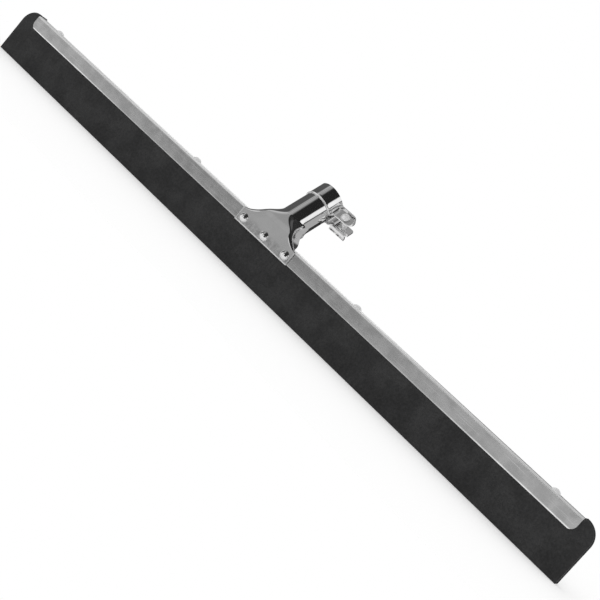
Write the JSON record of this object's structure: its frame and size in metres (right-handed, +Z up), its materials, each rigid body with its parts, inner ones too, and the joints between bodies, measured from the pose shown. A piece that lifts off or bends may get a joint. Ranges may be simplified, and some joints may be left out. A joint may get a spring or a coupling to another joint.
{
  "type": "floor squeegee head",
  "caption": "Floor squeegee head with a folded steel channel, foam rubber lips and a leaning tubular handle socket with a screw-tightened clamp band.",
  "frame": {"origin": "middle of the front lip's wiping edge", "axes": "+X along the blade to the side that the clamp's lugs are on, +Y from the front lip to the rear lip, the way the handle leans, +Z up from the floor"},
  "size_m": [0.762, 0.0679, 0.1152],
  "materials": {
    "zinc_sheet": "zinc-plated sheet, satin",
    "chrome_sheet": "bright plated sheet",
    "bright_fasteners": "bright plated",
    "plain_steel": "plain rolled steel",
    "foam_rubber": "matt black cellular rubber"
  },
  "bodies": {
    "head": {"frame_channel": "zinc_sheet", "front_lip": "foam_rubber", "rear_lip": "foam_rubber", "core_bar": "plain_steel", "top_rivets": "bright_fasteners", "socket": "chrome_sheet", "socket_rivets": "bright_fasteners", "rivet_washers": "zinc_sheet", "clamp_band": "chrome_sheet"},
    "bolt": {"clamp_bolt": "bright_fasteners", "bolt_washer": "zinc_sheet"},
    "nut": {"clamp_nut": "bright_fasteners", "nut_washer": "zinc_sheet"}
  },
  "joints": [
    {"name": "bolt_turn", "type": "hinge", "parent": "head", "child": "bolt", "pos_m": [0.0285, 0.04491, 0.09694], "axis": [0, -0.8192, 0.5736], "range_deg": [0, 1800]},
    {"name": "nut_travel", "type": "slide", "parent": "head", "child": "nut", "axis": [0, 0.8192, -0.5736], "range_m": [0, 0.004]}
  ],
  "couplings": [
    {"joint": "bolt_turn", "follows": "nut_travel", "rad_per_m": 7854}
  ]
}
